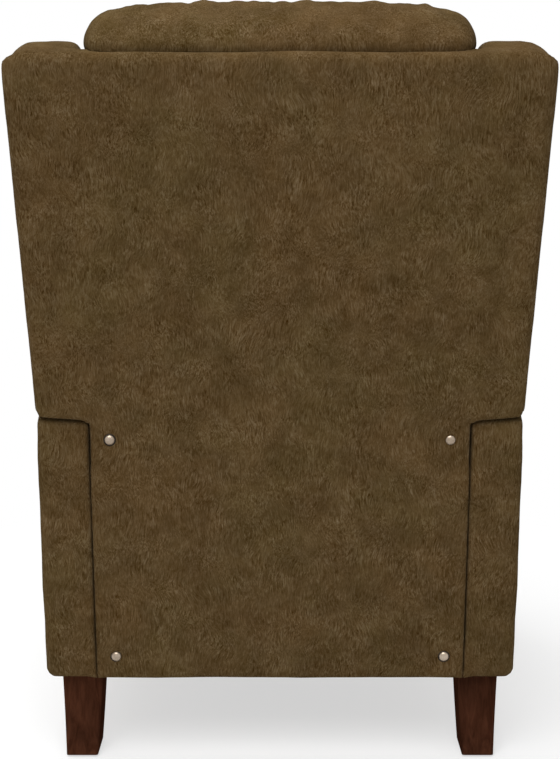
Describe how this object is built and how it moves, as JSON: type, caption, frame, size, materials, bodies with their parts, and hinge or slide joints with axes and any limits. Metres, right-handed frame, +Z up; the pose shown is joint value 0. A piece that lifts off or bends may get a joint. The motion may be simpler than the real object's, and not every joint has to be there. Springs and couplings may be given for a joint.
{
  "type": "high leg recliner",
  "caption": "Push-back armchair on tapered legs with winged high back; the back reclines while the seat glides forward and a padded footrest unfolds on lazy-tong links.",
  "frame": {"origin": "on the floor under the centre of the closed chair's bounding box", "axes": "+Z up, the chair faces -Y with its back at +Y, +X to the sitter's left"},
  "size_m": [0.722, 0.914, 1.0855],
  "materials": {
    "upholstery": "mottled brown suede-look upholstery",
    "leg_wood": "dark espresso stain, satin",
    "frame_wood": "bare sawn hardwood",
    "plywood": "bare plywood",
    "mechanism_steel": "black painted",
    "fastener": "zinc plated",
    "spring_steel": "oiled",
    "webbing": "woven elastic",
    "nail": "antique, satin",
    "glide": "matte"
  },
  "bodies": {
    "base": {"arm_cover_left": "upholstery", "arm_cover_right": "upholstery", "arm_bottom_rails": "frame_wood", "arm_front_posts": "frame_wood", "arm_mid_posts": "frame_wood", "arm_rear_posts": "frame_wood", "arm_top_rails": "frame_wood", "arm_stub_rails": "frame_wood", "front_stretcher": "frame_wood", "rear_bottom_rail": "frame_wood", "rear_top_rail": "frame_wood", "leg_front_left": "leg_wood", "leg_front_right": "leg_wood", "leg_rear_left": "leg_wood", "leg_rear_right": "leg_wood", "leg_bolts": "fastener", "leg_glides": "glide", "base_plate_left": "mechanism_steel", "base_plate_right": "mechanism_steel", "base_plate_screws": "fastener", "base_pivot_pins": "fastener", "lower_back_panel": "upholstery", "decorative_nails": "nail"},
    "backrest": {"back_post_left": "frame_wood", "back_post_right": "frame_wood", "back_bottom_rail": "frame_wood", "back_lumbar_rail": "frame_wood", "back_top_rail": "frame_wood", "back_webbing": "webbing", "wing_panel_left": "plywood", "wing_panel_right": "plywood", "wing_cover_left": "upholstery", "wing_cover_right": "upholstery", "outside_back_cover": "upholstery", "back_cushion": "upholstery", "back_bracket_left": "mechanism_steel", "back_bracket_right": "mechanism_steel", "back_bracket_bolts": "fastener"},
    "seat": {"seat_side_rail_left": "frame_wood", "seat_side_rail_right": "frame_wood", "seat_front_rail": "frame_wood", "seat_rear_rail": "frame_wood", "seat_springs": "spring_steel", "seat_plate_left": "mechanism_steel", "seat_plate_right": "mechanism_steel", "seat_plate_bolts": "fastener", "seat_pivot_pins": "fastener", "seat_cushion": "upholstery"},
    "front_swing": {"front_swing_link_left": "mechanism_steel", "front_swing_link_right": "mechanism_steel"},
    "rear_links": {"ottoman_rear_links": "mechanism_steel"},
    "cross_links": {"ottoman_cross_links": "mechanism_steel"},
    "middle_links": {"ottoman_middle_links": "mechanism_steel"},
    "front_links": {"ottoman_front_links": "mechanism_steel"},
    "end_links": {"ottoman_end_links": "mechanism_steel"},
    "footrest": {"footrest_bracket_left": "mechanism_steel", "footrest_bracket_right": "mechanism_steel", "footrest_board": "plywood", "footrest_pad": "upholstery"}
  },
  "joints": [
    {"name": "back_recline", "type": "hinge", "parent": "base", "child": "backrest", "pos_m": [0, 0.26845, 0.4], "axis": [-1, 0, 0], "range_deg": [0, 27]},
    {"name": "seat_hinge", "type": "hinge", "parent": "backrest", "child": "seat", "pos_m": [0, 0.27543, 0.30024], "axis": [-1, 0, 0], "range_deg": [-27, 0]},
    {"name": "front_swing_hinge", "type": "hinge", "parent": "base", "child": "front_swing", "pos_m": [0, -0.23, 0.315], "axis": [-1, 0, 0], "range_deg": [0, 27]},
    {"name": "rear_link_hinge", "type": "hinge", "parent": "seat", "child": "rear_links", "pos_m": [0, -0.298, 0.304], "axis": [-1, 0, 0], "range_deg": [0, 76]},
    {"name": "cross_link_hinge", "type": "hinge", "parent": "rear_links", "child": "cross_links", "pos_m": [0, -0.31601, 0.22605], "axis": [-1, 0, 0], "range_deg": [-152, 0]},
    {"name": "middle_link_hinge", "type": "hinge", "parent": "cross_links", "child": "middle_links", "pos_m": [0, -0.32022, 0.30594], "axis": [-1, 0, 0], "range_deg": [0, 152]},
    {"name": "front_link_hinge", "type": "hinge", "parent": "middle_links", "child": "front_links", "pos_m": [0, -0.33823, 0.228], "axis": [-1, 0, 0], "range_deg": [-152, 0]},
    {"name": "end_link_hinge", "type": "hinge", "parent": "middle_links", "child": "end_links", "pos_m": [0, -0.35624, 0.15005], "axis": [-1, 0, 0], "range_deg": [-152, 0]},
    {"name": "footrest_hinge", "type": "hinge", "parent": "front_links", "child": "footrest", "pos_m": [0, -0.34243, 0.30789], "axis": [-1, 0, 0], "range_deg": [0, 152]}
  ],
  "couplings": [
    {"joint": "seat_hinge", "follows": "back_recline", "ratio": -1},
    {"joint": "front_swing_hinge", "follows": "back_recline", "ratio": 1},
    {"joint": "rear_link_hinge", "follows": "back_recline", "ratio": 2.8148},
    {"joint": "cross_link_hinge", "follows": "back_recline", "ratio": -5.6296},
    {"joint": "middle_link_hinge", "follows": "back_recline", "ratio": 5.6296},
    {"joint": "front_link_hinge", "follows": "back_recline", "ratio": -5.6296},
    {"joint": "end_link_hinge", "follows": "back_recline", "ratio": -5.6296},
    {"joint": "footrest_hinge", "follows": "back_recline", "ratio": 5.6296}
  ]
}
